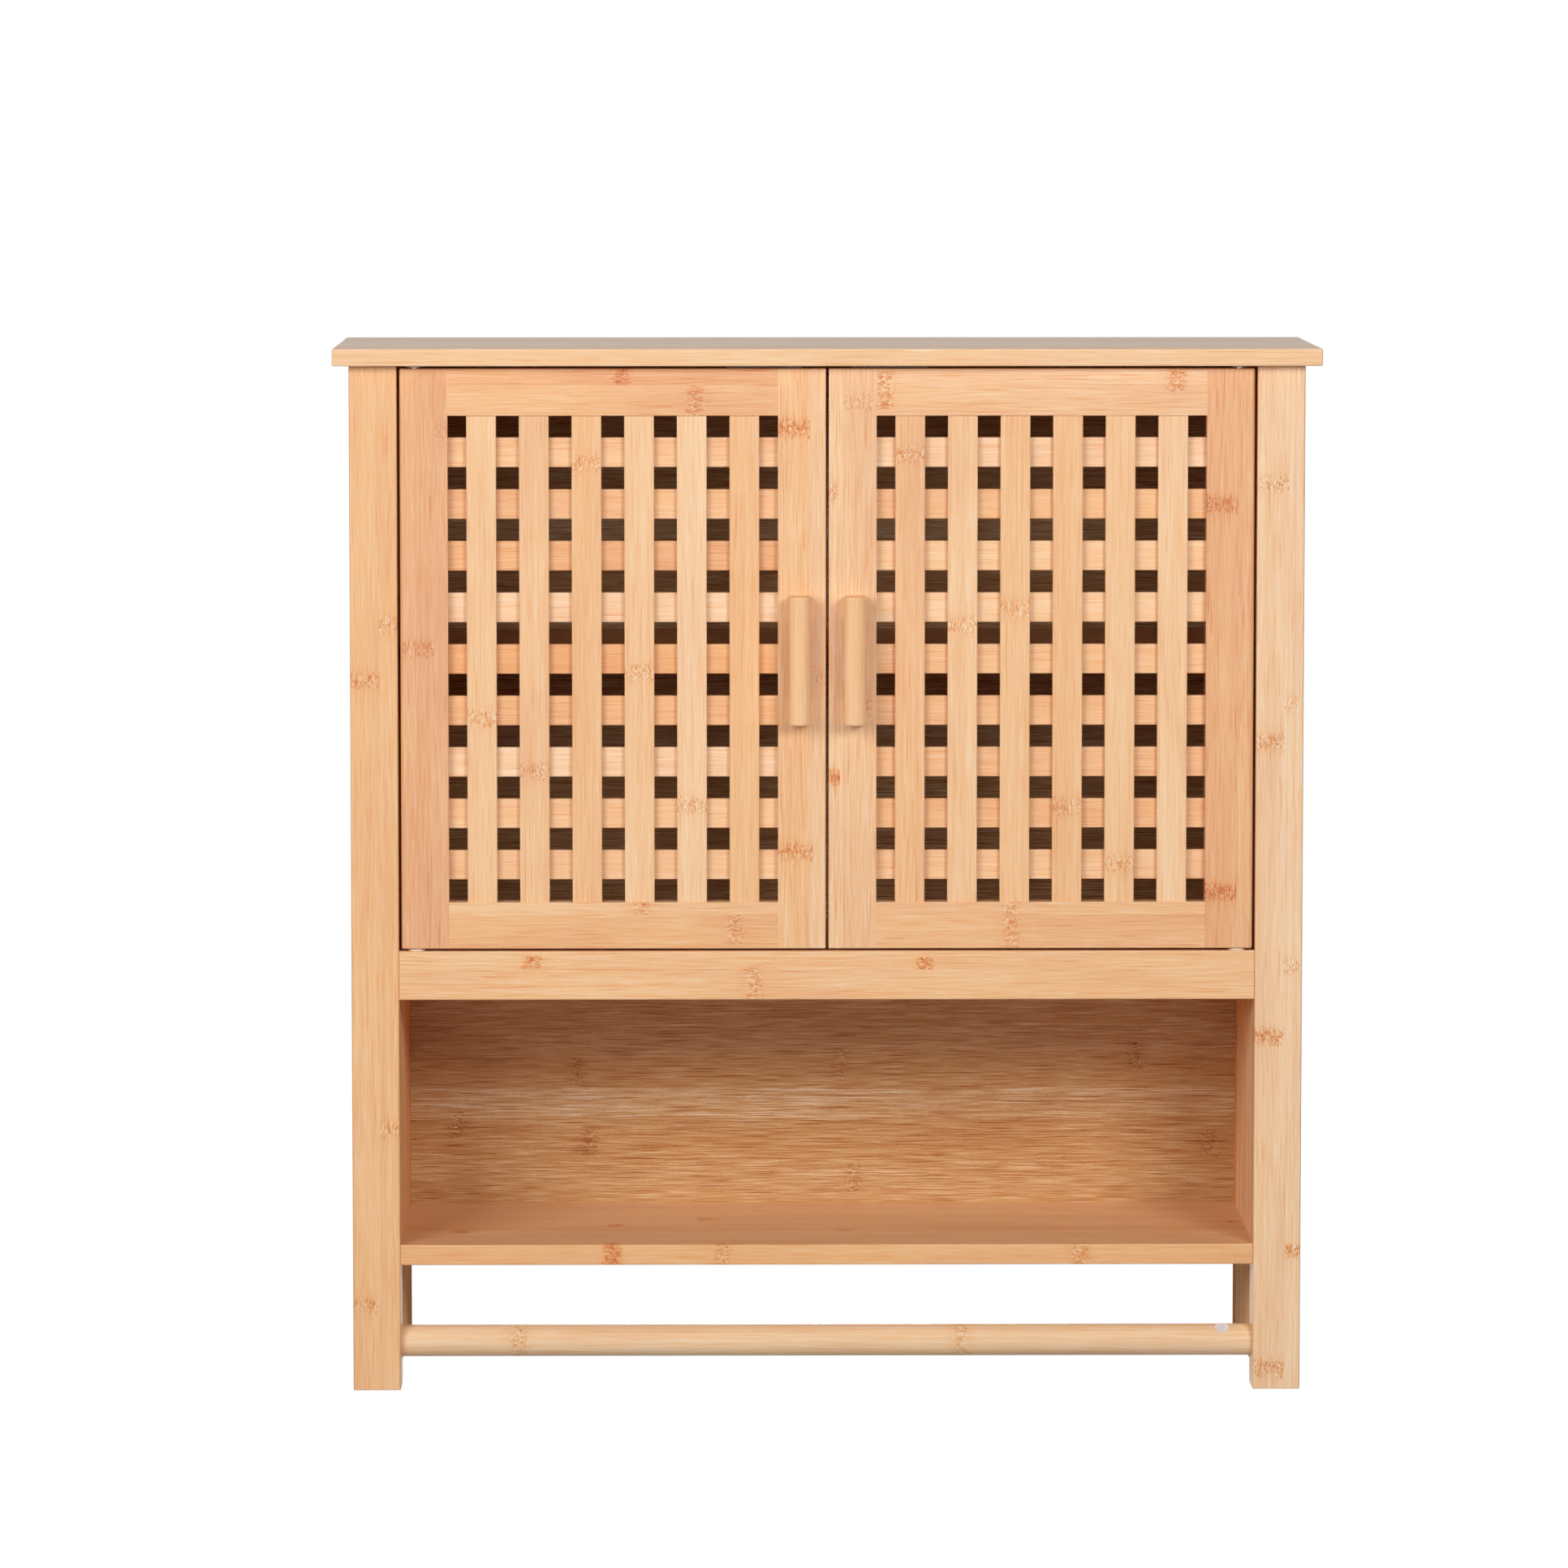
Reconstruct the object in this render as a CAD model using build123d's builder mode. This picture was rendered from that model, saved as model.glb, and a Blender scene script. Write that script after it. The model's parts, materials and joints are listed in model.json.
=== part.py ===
from build123d import *
import os

os.makedirs("parts", exist_ok=True)

# A bamboo wall cabinet. Four posts and two side panels carry a top board, a bay
# with two lattice doors, an open bay below it, and a towel bar between the feet.
# Frame: X to the right, Y towards the wall, Z up. The origin is on the wall,
# midway between the two screws that the cabinet hangs on. Sizes are millimetres.

# Whole cabinet
body_width = 600.0              # over the outer faces of the posts
body_depth = 190.0              # from the wall to the front of the posts
overall_height = 660.0          # feet to the top of the top board
hang_drop = 60.0                # wall screws below the top board's upper face
glue_play = 0.1                 # room left on each side of a glued joint

# Top board
top_thickness = 11.0
top_side_overhang = 10.0
top_front_overhang = 10.0
top_round = 1.2

# Posts, side panels and back panel
post_width = 30.0
post_depth = 30.0
post_round = 1.2
panel_thickness = 12.0
panel_lift = 15.0               # side panel's lower edge above the feet
tongue_thickness = 5.0
tongue_length = 8.0
back_thickness = 5.0
back_inset = 3.0                # back panel in from the wall plane
back_rebate = 6.0               # back panel's edge in each rear post

# Shelves, apron and towel bar
lower_shelf_height = 80.0       # underside of the lower shelf above the feet
lower_shelf_thickness = 13.0
open_bay_height = 156.0         # lower shelf's top to the apron's underside
apron_height = 31.0
apron_thickness = 15.0
floor_thickness = 12.0
inner_shelf_height = 180.0      # door bay floor to the inner shelf's underside
inner_shelf_thickness = 11.0
inner_shelf_setback = 30.0      # inner shelf's front edge behind the posts' front
inner_shelf_play = 1.0          # loose shelf to the sides and to the back panel
board_round = 1.0
bar_radius = 10.0
bar_height = 29.5               # bar's axis above the feet

# Doors
door_thickness = 15.0
door_gap_top = 1.8
door_gap_bottom = 1.5
door_gap_side = 1.7
door_gap_middle = 1.8
stile_width = 30.0
rail_width = 29.5
hinge_edge_round = 2.5
frame_round = 0.8
tenon_thickness = 6.0
tenon_length = 12.0
tenon_shoulder = 5.0            # tenon's edge in from the rail's edge

# Lattice: upright slats in front, level slats behind them
slat_width = 18.7
slat_thickness = 4.5
slat_recess = 1.2               # upright slats behind the frame's face
slat_round = 0.6
slat_housing = 6.0              # slat end inside the frame
upright_slats = 6
upright_edge_gap = 11.8         # between the stile and the nearest upright slat
level_slats = 9
level_edge_gap = 13.9           # between the rail and the nearest level slat

# Handles
handle_width = 13.5
handle_length = 81.0
handle_proud = 20.0
handle_crown = 3.5
handle_round = 1.2
handle_inset = 16.3             # handle's middle from the door's free edge
finger_gap_length = 50.0
finger_gap_depth = 9.0
finger_gap_round = 6.0
handle_screw_spacing = 65.0
handle_screw_bite = 11.0        # screw's length inside the handle

# Door pivots: a steel pin in each end of the hinge stile, in a nylon bush
pivot_inset = 9.5               # pivot axis from the door's hinge edge
pivot_setback = 6.5             # pivot axis behind the door's face
pin_radius = 2.5
pin_in_door = 12.0
pin_in_bush = 6.0
pin_play = 0.05
bush_radius = 4.0
bush_depth = 7.0
bush_flange_radius = 5.5
bush_flange_thickness = 1.2

# Cam locks and their bolts
cam_radius = 5.0
cam_depth = 9.0
cam_reach = 19.0                # cam's middle to the joint that its bolt crosses
cam_edge_distance = 30.0        # cam's middle to the side panel's front or rear edge
bolt_line_depth = 6.0           # bolt's axis below the cam's face
bolt_thread_radius = 2.5
bolt_thread_length = 8.0
bolt_neck_radius = 1.6
bolt_head_radius = 2.2
bolt_head_length = 2.0
bolt_bore_radius = 2.6
cam_play = 0.1
bar_cam_rise = 9.0              # bar cam's face above the bar's axis
bar_cam_depth = 12.0
bar_cam_tilt = 25.0             # degrees from straight up towards the front
cam_slot_width = 1.2
cam_slot_length = 6.0
cam_slot_depth = 1.0

# Dowels
large_dowel_radius = 4.0
large_dowel_length = 30.0
large_dowel_in_top = 8.0
small_dowel_radius = 3.0
small_dowel_length = 30.0
small_dowel_low = 7.0           # lower apron dowel above the apron's underside
small_dowel_spacing = 10.0

# Shelf pins
pin_edge_distance = 25.0        # shelf pin to the side panel's front or rear edge
shelf_pin_radius = 2.5
shelf_pin_in_panel = 8.0
shelf_pin_reach = 10.0
shelf_pin_tab_width = 8.0
shelf_pin_tab_height = 4.0

# Magnetic catches and strike plates
catch_offset = 39.5             # catch's middle from the cabinet's middle
catch_width = 47.0
catch_ear_thickness = 3.0
catch_block_width = 28.0
catch_block_height = 14.0
catch_depth = 14.0
catch_screw_spacing = 38.0
magnet_width = 20.0
magnet_depth = 9.0
magnet_thickness = 4.0
pole_thickness = 1.2
pole_proud = 1.5                # pole plates in front of the housing
catch_gap = 0.3                 # pole plates to the strike plate
strike_width = 38.0
strike_height = 12.0
strike_thickness = 1.0

# Hanging plates
hanger_width = 18.0
hanger_height = 50.0
hanger_rise = 3.0               # plate's middle above the keyhole's round end
hanger_thickness = 2.0
hanger_screw_spacing = 40.0
keyhole_radius = 4.5
keyhole_slot_width = 4.6
keyhole_slot_rise = 9.0
head_pocket_radius = 5.6
head_pocket_depth = 13.0

# Countersunk screws
screw_shank_radius = 1.75
screw_head_radius = 3.4
screw_drive_width = 0.7
screw_drive_length = 3.6
screw_drive_depth = 0.8
screw_play = 0.05
catch_screw_bite = 8.0          # catch screw's length inside the top board
strike_screw_length = 10.0
hanger_screw_length = 16.0

# Levels, from the wall screws up to the top board and down to the feet, then from the feet up
top_z = hang_drop
foot_z = top_z - overall_height
board_under_z = top_z - top_thickness
lower_shelf_z = foot_z + lower_shelf_height
lower_shelf_top_z = lower_shelf_z + lower_shelf_thickness
apron_z = lower_shelf_top_z + open_bay_height
floor_top_z = apron_z + apron_height
floor_z = floor_top_z - floor_thickness
inner_shelf_z = floor_top_z + inner_shelf_height
bar_z = foot_z + bar_height
door_low_z = floor_top_z + door_gap_bottom
door_high_z = board_under_z - door_gap_top
door_mid_z = (door_low_z + door_high_z) / 2

# Planes from the middle outwards, and from the front to the wall
outer_x = body_width / 2
inner_x = outer_x - post_width
post_x = outer_x - post_width / 2
front_y = -body_depth
front_post_y = front_y + post_depth / 2
rear_post_y = -post_depth / 2
panel_front_y = front_y + post_depth
panel_rear_y = -post_depth
back_face_y = -back_inset - back_thickness
apron_rear_y = front_y + apron_thickness
bar_y = front_post_y
door_rear_y = front_y + door_thickness
cam_lines_y = (panel_front_y + cam_edge_distance, panel_rear_y - cam_edge_distance)
pin_lines_y = (panel_front_y + pin_edge_distance, panel_rear_y - pin_edge_distance)

# Door frame
door_free_x = door_gap_middle / 2
door_hinge_x = inner_x - door_gap_side
opening_free_x = door_free_x + stile_width
opening_hinge_x = door_hinge_x - stile_width
opening_mid_x = (opening_free_x + opening_hinge_x) / 2
opening_width = opening_hinge_x - opening_free_x
opening_low_z = door_low_z + rail_width
opening_high_z = door_high_z - rail_width
opening_mid_z = (opening_low_z + opening_high_z) / 2
opening_height = opening_high_z - opening_low_z
pivot_x = door_hinge_x - pivot_inset
pivot_y = front_y + pivot_setback
tenon_y = front_y + door_thickness / 2
upright_rear_y = front_y + slat_recess + slat_thickness
upright_pitch = (opening_width - slat_width - 2 * upright_edge_gap) / (upright_slats - 1)
level_pitch = (opening_height - slat_width - 2 * level_edge_gap) / (level_slats - 1)
handle_x = door_free_x + handle_inset

# Magnetic catch
magnet_z = board_under_z - (catch_ear_thickness + catch_block_height) / 2
strike_rear_y = door_rear_y + strike_thickness
pole_front_y = strike_rear_y + catch_gap
catch_front_y = pole_front_y + pole_proud
catch_screw_y = catch_front_y + catch_depth / 2
catch_ear_z = board_under_z - catch_ear_thickness
catch_screw_length = catch_ear_thickness + catch_screw_bite
handle_screw_length = door_thickness + handle_screw_bite

sides = {"left": -1, "right": 1}


def block(x, y, z, mode=Mode.ADD):
    """Add or cut a block between two values on each axis."""
    with BuildSketch(Plane.XY.offset(min(z))) as base:
        with Locations(((x[0] + x[1]) / 2, (y[0] + y[1]) / 2)):
            Rectangle(abs(x[1] - x[0]), abs(y[1] - y[0]))
    extrude(base.sketch, amount=abs(z[1] - z[0]), mode=mode)


def rod(start, direction, radius, length, mode=Mode.ADD):
    """Add or cut a round bar that starts at a point and runs in a direction."""
    with BuildSketch(Plane(origin=start, z_dir=direction)) as end:
        Circle(radius)
    extrude(end.sketch, amount=length, mode=mode)


def hole(start, direction, radius, length):
    """Cut a round hole that starts at a point and runs in a direction."""
    rod(start, direction, radius, length, mode=Mode.SUBTRACT)


def span(middle, size):
    """The two ends of a size about its middle."""
    return (middle - size / 2, middle + size / 2)


def grow(ends, play):
    """The same two ends, each moved out by the play."""
    return (min(ends) - play, max(ends) + play)


def cross_slot(face_point, outward, length, width, depth):
    """Cut a cross slot for a screwdriver."""
    with BuildSketch(Plane(origin=face_point, z_dir=outward)) as cross:
        Rectangle(length, width)
        Rectangle(width, length)
    extrude(cross.sketch, amount=-depth, mode=Mode.SUBTRACT)


def screw_shape(face_point, inward, length, play, mode):
    """Add or cut a countersunk screw whose head is flush with a face."""
    with BuildSketch(Plane(origin=face_point, z_dir=inward)) as head:
        Circle(screw_head_radius + play)
    extrude(head.sketch, amount=screw_head_radius - screw_shank_radius, taper=45, mode=mode)
    rod(face_point, inward, screw_shank_radius + play, length, mode=mode)


def screw(face_point, inward, length):
    """A countersunk screw with a cross drive."""
    screw_shape(face_point, inward, length, 0, Mode.ADD)
    cross_slot(face_point, Vector(*inward) * -1, screw_drive_length, screw_drive_width, screw_drive_depth)


def screw_hole(face_point, inward, length):
    """Cut the seat of a countersunk screw."""
    screw_shape(face_point, inward, length, screw_play, Mode.SUBTRACT)


def save(piece, name):
    """Label a finished piece and write it to its file."""
    piece.part.label = name
    export_step(piece.part, f"parts/{name}.step")


# Where the cams sit: a point on the board's face, the way the face looks, and the
# way the bolt runs to the piece that it is screwed into.

def shelf_cams(under_z):
    """Cams in the underside of a board that hangs between the side panels."""
    return [
        (Vector(side * (inner_x - cam_reach), y, under_z), Vector(0, 0, -1), Vector(side, 0, 0))
        for side in sides.values()
        for y in cam_lines_y
    ]


def side_panel_cams(side):
    """Cams in a side panel's inner face that pull the top board down."""
    return [
        (Vector(side * inner_x, y, board_under_z - cam_reach), Vector(-side, 0, 0), Vector(0, 0, 1))
        for y in cam_lines_y
    ]


def bar_cam():
    """The cam near the right end of the towel bar."""
    outward = Vector(0, -1, 0).rotate(Axis.X, -(90 - bar_cam_tilt))
    middle = Vector(inner_x - cam_reach, bar_y, bar_z)
    return middle + outward * bar_cam_rise, outward, Vector(1, 0, 0)


def cut_cam_seat(cam, depth, line_depth):
    """Cut the pocket of a cam and the bore that its bolt comes through."""
    face_point, outward, along = cam
    hole(face_point, outward * -1, cam_radius + cam_play, depth + cam_play)
    hole(face_point - outward * line_depth, along, bolt_bore_radius, cam_reach)


def cam_disc(cam, depth, line_depth):
    """A cam: a disc with a cross slot and a side bore for the bolt's head."""
    face_point, outward, along = cam
    axis_point = face_point - outward * line_depth
    with BuildPart() as disc:
        rod(face_point, outward * -1, cam_radius, depth)
        hole(axis_point - along * bolt_head_length, along, bolt_bore_radius, cam_radius + bolt_head_length)
        cross_slot(face_point, outward, cam_slot_length, cam_slot_width, cam_slot_depth)
    return disc.part


def cam_bolt(cam, line_depth):
    """A bolt from the cam's middle into the piece behind the joint."""
    face_point, outward, along = cam
    start = face_point - outward * line_depth - along * (bolt_head_length / 2)
    joint = face_point - outward * line_depth + along * cam_reach
    with BuildPart() as bolt:
        rod(start, along, bolt_head_radius, bolt_head_length)
        rod(start, along, bolt_neck_radius, cam_reach + bolt_head_length / 2)
        rod(joint, along, bolt_thread_radius, bolt_thread_length)
    return bolt.part


def cut_bolt_thread(cam, line_depth):
    """Cut the hole that a cam's bolt is screwed into."""
    face_point, outward, along = cam
    joint = face_point - outward * line_depth + along * cam_reach
    hole(joint, along, bolt_thread_radius, bolt_thread_length)


def make_top_board():
    """The top board, with blind holes in its underside."""
    with BuildPart() as board:
        half = outer_x + top_side_overhang
        block((-half, half), (front_y - top_front_overhang, 0), (board_under_z, top_z))
        fillet(board.edges(), top_round)
        for side in sides.values():
            for y in (front_post_y, rear_post_y):
                hole((side * post_x, y, board_under_z), (0, 0, 1), large_dowel_radius, large_dowel_in_top)
            hole((side * pivot_x, pivot_y, board_under_z), (0, 0, 1), bush_radius, bush_depth)
            for cam in side_panel_cams(side):
                cut_bolt_thread(cam, bolt_line_depth)
            for x in span(side * catch_offset, catch_screw_spacing):
                screw_hole((x, catch_screw_y, catch_ear_z), (0, 0, 1), catch_screw_length)
    save(board, "top_board")


def cut_post_dowels(side, y):
    """Cut the hole for the dowel in the top of a post."""
    depth = large_dowel_length - large_dowel_in_top
    hole((side * post_x, y, board_under_z), (0, 0, -1), large_dowel_radius, depth)


def tongue_x(side):
    """The side panel's tongue, in the middle of its thickness."""
    return span(side * (inner_x + panel_thickness / 2), tongue_thickness)


def make_front_post(name, side):
    """A front post with the side panel's groove and the apron's dowel holes."""
    with BuildPart() as post:
        block((side * inner_x, side * outer_x), (front_y, panel_front_y), (foot_z, board_under_z))
        fillet(post.edges().filter_by(Axis.Z), post_round)
        fillet(post.faces().sort_by(Axis.Z)[0].edges(), post_round / 2)
        groove_y = (panel_front_y - tongue_length - glue_play, panel_front_y)
        groove_z = (foot_z + panel_lift - glue_play, board_under_z)
        block(grow(tongue_x(side), glue_play), groove_y, groove_z, mode=Mode.SUBTRACT)
        cut_post_dowels(side, front_post_y)
        for point in small_dowel_points(side):
            hole(point, (side, 0, 0), small_dowel_radius, small_dowel_length / 2)
        if side == sides["right"]:
            cut_bolt_thread(bar_cam(), bar_cam_rise)
        else:
            hole((side * inner_x, bar_y, bar_z), (side, 0, 0), large_dowel_radius, large_dowel_length / 2)
    save(post, f"{name}_front_post")


def hanger_screw_points(side):
    """Where a hanging plate's screws start, on the wall plane."""
    return [(side * post_x, 0, z) for z in span(hanger_rise, hanger_screw_spacing)]


def make_rear_post(name, side):
    """A rear post with its two grooves and the seat of its hanging plate."""
    with BuildPart() as post:
        block((side * inner_x, side * outer_x), (panel_rear_y, 0), (foot_z, board_under_z))
        fillet(post.edges().filter_by(Axis.Z), post_round)
        fillet(post.faces().sort_by(Axis.Z)[0].edges(), post_round / 2)
        groove_y = (panel_rear_y, panel_rear_y + tongue_length + glue_play)
        groove_z = (foot_z + panel_lift - glue_play, board_under_z)
        block(grow(tongue_x(side), glue_play), groove_y, groove_z, mode=Mode.SUBTRACT)
        rebate_x = (side * inner_x, side * (inner_x + back_rebate + glue_play))
        rebate_y = grow((back_face_y, -back_inset), glue_play)
        block(rebate_x, rebate_y, (lower_shelf_z - glue_play, board_under_z), mode=Mode.SUBTRACT)
        cut_post_dowels(side, rear_post_y)
        seat_x = grow(span(side * post_x, hanger_width), glue_play)
        seat_z = grow(span(hanger_rise, hanger_height), glue_play)
        block(seat_x, (-hanger_thickness, 0), seat_z, mode=Mode.SUBTRACT)
        with BuildSketch(Plane.XZ.offset(hanger_thickness)) as pocket:
            with Locations((side * post_x, keyhole_slot_rise / 2)):
                SlotCenterToCenter(keyhole_slot_rise, 2 * head_pocket_radius, rotation=90)
        extrude(pocket.sketch, amount=head_pocket_depth, mode=Mode.SUBTRACT)
        for point in hanger_screw_points(side):
            screw_hole(point, (0, -1, 0), hanger_screw_length)
    save(post, f"{name}_rear_post")


def make_side_panel(name, side):
    """A side panel with a tongue along its front and rear edges."""
    with BuildPart() as panel:
        panel_z = (foot_z + panel_lift, board_under_z)
        panel_x = (side * inner_x, side * (inner_x + panel_thickness))
        block(panel_x, (panel_front_y, panel_rear_y), panel_z)
        block(tongue_x(side), (panel_front_y - tongue_length, panel_rear_y + tongue_length), panel_z)
        for cam in side_panel_cams(side):
            cut_cam_seat(cam, cam_depth, bolt_line_depth)
        for cam in shelf_cams(lower_shelf_z) + shelf_cams(floor_z):
            if cam[2].X == side:
                cut_bolt_thread(cam, bolt_line_depth)
        for y in pin_lines_y:
            hole(shelf_pin_point(side, y), (side, 0, 0), shelf_pin_radius, shelf_pin_in_panel)
    save(panel, f"{name}_side_panel")


def make_back_panel():
    """The back panel, with its side edges inside the rear posts."""
    with BuildPart() as panel:
        half = inner_x + back_rebate
        block((-half, half), (back_face_y, -back_inset), (lower_shelf_z, board_under_z))
    save(panel, "back_panel")


def make_apron():
    """The apron rail under the doors, with the lower pivot bushes in its top."""
    with BuildPart() as apron:
        block((-inner_x, inner_x), (front_y, apron_rear_y), (apron_z, floor_top_z))
        front_edges = apron.faces().sort_by(Axis.Y)[0].edges()
        fillet(front_edges, board_round)
        for side in sides.values():
            hole((side * pivot_x, pivot_y, floor_top_z), (0, 0, -1), bush_radius, bush_depth)
            for point in small_dowel_points(side):
                hole(point, (-side, 0, 0), small_dowel_radius, small_dowel_length / 2)
    save(apron, "apron_rail")


def make_floor_board():
    """The floor of the door bay, behind the apron."""
    with BuildPart() as board:
        block((-inner_x, inner_x), (apron_rear_y, back_face_y), (floor_z, floor_top_z))
        for cam in shelf_cams(floor_z):
            cut_cam_seat(cam, cam_depth, bolt_line_depth)
    save(board, "floor_board")


def make_inner_shelf():
    """The loose shelf behind the doors."""
    with BuildPart() as shelf:
        half = inner_x - inner_shelf_play
        shelf_y = (front_y + inner_shelf_setback, back_face_y - inner_shelf_play)
        block((-half, half), shelf_y, (inner_shelf_z, inner_shelf_z + inner_shelf_thickness))
        fillet(shelf.faces().sort_by(Axis.Y)[0].edges(), board_round)
    save(shelf, "inner_shelf")


def make_lower_shelf():
    """The shelf at the bottom of the open bay."""
    with BuildPart() as shelf:
        block((-inner_x, inner_x), (front_y, back_face_y), (lower_shelf_z, lower_shelf_top_z))
        fillet(shelf.faces().sort_by(Axis.Y)[0].edges(), board_round)
        for cam in shelf_cams(lower_shelf_z):
            cut_cam_seat(cam, cam_depth, bolt_line_depth)
    save(shelf, "lower_shelf")


def make_towel_bar():
    """The towel bar, with a cam's seat at its right end and a dowel's at its left."""
    with BuildPart() as bar:
        rod((-inner_x, bar_y, bar_z), (1, 0, 0), bar_radius, 2 * inner_x)
        cut_cam_seat(bar_cam(), bar_cam_depth, bar_cam_rise)
        face_point, outward, along = bar_cam()
        hole(face_point, outward, cam_radius + cam_play, bar_radius)
        hole((-inner_x, bar_y, bar_z), (1, 0, 0), large_dowel_radius, large_dowel_length / 2)
    save(bar, "towel_bar")


def make_cams_and_bolts():
    """The twelve board cams, the bar's cam and one bolt for each."""
    board_cams = shelf_cams(lower_shelf_z) + shelf_cams(floor_z)
    for side in sides.values():
        board_cams += side_panel_cams(side)
    discs = [cam_disc(cam, cam_depth, bolt_line_depth) for cam in board_cams]
    bar_disc = cam_disc(bar_cam(), bar_cam_depth, bar_cam_rise)
    all_bolts = [cam_bolt(cam, bolt_line_depth) for cam in board_cams]
    all_bolts.append(cam_bolt(bar_cam(), bar_cam_rise))
    with BuildPart() as cams:
        add(discs)
    save(cams, "cam_locks")
    with BuildPart() as bar_lock:
        add(bar_disc)
    save(bar_lock, "bar_cam_lock")
    with BuildPart() as bolts:
        add(all_bolts)
    save(bolts, "cam_bolts")


def small_dowel_points(side):
    """Where the apron's dowels cross the joint between apron and post."""
    low = apron_z + small_dowel_low
    return [(side * inner_x, (front_y + apron_rear_y) / 2, z) for z in (low, low + small_dowel_spacing)]


def make_dowels():
    """The large dowels in the posts and the bar, and the small ones in the apron."""
    with BuildPart() as large:
        for side in sides.values():
            for y in (front_post_y, rear_post_y):
                top = board_under_z + large_dowel_in_top
                rod((side * post_x, y, top), (0, 0, -1), large_dowel_radius, large_dowel_length)
        left_end = -inner_x - large_dowel_length / 2
        rod((left_end, bar_y, bar_z), (1, 0, 0), large_dowel_radius, large_dowel_length)
    save(large, "large_dowels")
    with BuildPart() as small:
        for side in sides.values():
            for x, y, z in small_dowel_points(side):
                start = (x + side * small_dowel_length / 2, y, z)
                rod(start, (-side, 0, 0), small_dowel_radius, small_dowel_length)
    save(small, "small_dowels")


def shelf_pin_point(side, y):
    """Where a shelf pin's axis crosses the side panel's inner face."""
    return (side * inner_x, y, inner_shelf_z - shelf_pin_tab_height / 2)


def make_shelf_pins():
    """Four pins whose flat tabs carry the inner shelf."""
    with BuildPart() as pins:
        for side in sides.values():
            for y in pin_lines_y:
                rod(shelf_pin_point(side, y), (side, 0, 0), shelf_pin_radius, shelf_pin_in_panel)
                tab_x = (side * inner_x, side * (inner_x - shelf_pin_reach))
                tab_z = (inner_shelf_z - shelf_pin_tab_height, inner_shelf_z)
                block(tab_x, span(y, shelf_pin_tab_width), tab_z)
    save(pins, "shelf_pins")


def make_pivot_bushes():
    """Flanged bushes in the apron and in the top board."""
    with BuildPart() as bushes:
        for side in sides.values():
            for z, into in ((floor_top_z, -1), (board_under_z, 1)):
                start = Vector(side * pivot_x, pivot_y, z)
                flange_start = start - Vector(0, 0, into * bush_flange_thickness)
                length = bush_depth + bush_flange_thickness
                rod(start, (0, 0, into), bush_radius, bush_depth)
                rod(flange_start, (0, 0, into), bush_flange_radius, bush_flange_thickness)
                hole(flange_start, (0, 0, into), pin_radius + pin_play, length)
    save(bushes, "pivot_bushes")


def make_catches():
    """Two magnetic catches: housings, magnets, pole plates and screws."""
    magnet_y = (catch_front_y, catch_front_y + magnet_depth)
    pole_y = (pole_front_y, catch_front_y + magnet_depth)
    stack = magnet_thickness / 2 + pole_thickness
    with BuildPart() as housings:
        for side in sides.values():
            catch_y = (catch_front_y, catch_front_y + catch_depth)
            block(span(side * catch_offset, catch_width), catch_y, (catch_ear_z, board_under_z))
            block_z = (board_under_z - catch_block_height, board_under_z)
            block(span(side * catch_offset, catch_block_width), catch_y, block_z)
            seat_x = grow(span(side * catch_offset, magnet_width), glue_play)
            seat_z = (magnet_z - stack, magnet_z + stack)
            block(seat_x, magnet_y, seat_z, mode=Mode.SUBTRACT)
            for x in span(side * catch_offset, catch_screw_spacing):
                screw_hole((x, catch_screw_y, catch_ear_z), (0, 0, 1), catch_screw_length)
    save(housings, "catch_housings")
    with BuildPart() as magnets:
        for side in sides.values():
            block(span(side * catch_offset, magnet_width), magnet_y, span(magnet_z, magnet_thickness))
    save(magnets, "catch_magnets")
    with BuildPart() as poles:
        for side in sides.values():
            for level in (-1, 1):
                inner = magnet_z + level * magnet_thickness / 2
                outer = inner + level * pole_thickness
                block(span(side * catch_offset, magnet_width), pole_y, (inner, outer))
    save(poles, "catch_pole_plates")
    with BuildPart() as screws:
        for side in sides.values():
            for x in span(side * catch_offset, catch_screw_spacing):
                screw((x, catch_screw_y, catch_ear_z), (0, 0, 1), catch_screw_length)
    save(screws, "catch_screws")


def make_hangers():
    """Two keyhole plates let into the rear posts, and their screws."""
    with BuildPart() as plates:
        for side in sides.values():
            plate_x = span(side * post_x, hanger_width)
            block(plate_x, (-hanger_thickness, 0), span(hanger_rise, hanger_height))
            hole((side * post_x, 0, 0), (0, -1, 0), keyhole_radius, hanger_thickness)
            slot_x = span(side * post_x, keyhole_slot_width)
            block(slot_x, (-hanger_thickness, 0), (0, keyhole_slot_rise), mode=Mode.SUBTRACT)
            slot_end = (side * post_x, 0, keyhole_slot_rise)
            hole(slot_end, (0, -1, 0), keyhole_slot_width / 2, hanger_thickness)
            for point in hanger_screw_points(side):
                screw_hole(point, (0, -1, 0), hanger_screw_length)
    save(plates, "hanging_plates")
    with BuildPart() as screws:
        for side in sides.values():
            for point in hanger_screw_points(side):
                screw(point, (0, -1, 0), hanger_screw_length)
    save(screws, "hanging_plate_screws")


def tenon(z, play=0.0, mode=Mode.ADD, side=1):
    """Add or cut the tenons at both ends of a rail between two levels."""
    tenon_z = (min(z) + tenon_shoulder - play, max(z) - tenon_shoulder + play)
    reach = tenon_length + play
    tenon_x = (side * (opening_free_x - reach), side * (opening_hinge_x + reach))
    block(tenon_x, grow(span(tenon_y, tenon_thickness), play), tenon_z, mode=mode)


def lattice_plane(side, y):
    """A plane that faces the front, with its middle in the middle of the lattice."""
    return Plane(origin=(side * opening_mid_x, y, opening_mid_z), x_dir=(1, 0, 0), z_dir=(0, -1, 0))


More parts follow.
